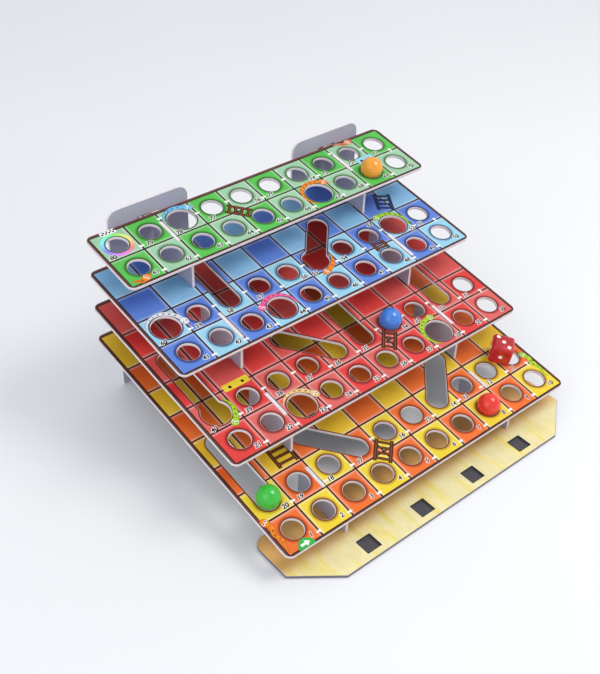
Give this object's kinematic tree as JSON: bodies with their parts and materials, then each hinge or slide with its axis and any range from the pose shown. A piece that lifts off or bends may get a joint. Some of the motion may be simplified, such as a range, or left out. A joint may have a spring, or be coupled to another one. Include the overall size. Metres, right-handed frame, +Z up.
{
  "type": "snakes and ladders board",
  "caption": "Stepped snakes and ladders board of sloping card tiers on slotted risers and back posts; marker balls sit in the holes and drop through the larger snake holes to the tier below.",
  "frame": {"origin": "centre of the whole board's footprint, on the table", "axes": "+X to the right along the tiers, +Y from the parking strip in front to the back posts, +Z up from the table"},
  "size_m": [0.256, 0.2356, 0.1462],
  "materials": {
    "yellow_orange_print": "printed card, yellow and orange squares, satin",
    "red_print": "printed card, two reds, satin",
    "blue_print": "printed card, two blues, satin",
    "green_print": "printed card, two greens, satin",
    "wood_print": "printed card, pale wood streaks, satin",
    "grey_print": "plain grey lilac card, matt",
    "green_plastic": "glossy moulded ball",
    "red_plastic": "glossy moulded ball",
    "blue_plastic": "glossy moulded ball",
    "orange_plastic": "glossy moulded ball",
    "red_clear_plastic": "clear red die with sunk white pips"
  },
  "bodies": {
    "board": {"bottom_tier": "yellow_orange_print", "second_tier": "red_print", "third_tier": "blue_print", "top_tier": "green_print", "parking_strip": "wood_print", "bottom_tier_riser_left": "grey_print", "bottom_tier_riser_right": "grey_print", "second_tier_riser_left": "grey_print", "second_tier_riser_right": "grey_print", "third_tier_riser_left": "grey_print", "third_tier_riser_right": "grey_print", "top_tier_riser_left": "grey_print", "top_tier_riser_right": "grey_print", "back_post_left": "grey_print", "back_post_right": "grey_print"},
    "green_ball": {"green_ball": "green_plastic"},
    "red_ball": {"red_ball": "red_plastic"},
    "blue_ball": {"blue_ball": "blue_plastic"},
    "orange_ball": {"orange_ball": "orange_plastic"},
    "die": {"die": "red_clear_plastic"}
  },
  "joints": [
    {"name": "green_ball_lift", "type": "slide", "parent": "board", "child": "green_ball", "axis": [0, -0.1564, 0.9877], "range_m": [0, 0.06]},
    {"name": "red_ball_lift", "type": "slide", "parent": "board", "child": "red_ball", "axis": [0, -0.1564, 0.9877], "range_m": [0, 0.06]},
    {"name": "blue_ball_lift", "type": "slide", "parent": "board", "child": "blue_ball", "axis": [0, -0.1564, 0.9877], "range_m": [0, 0.06]},
    {"name": "orange_ball_lift", "type": "slide", "parent": "board", "child": "orange_ball", "axis": [0, -0.1564, 0.9877], "range_m": [0, 0.06]},
    {"name": "die_lift", "type": "slide", "parent": "board", "child": "die", "axis": [0, -0.1564, 0.9877], "range_m": [0, 0.06]}
  ]
}
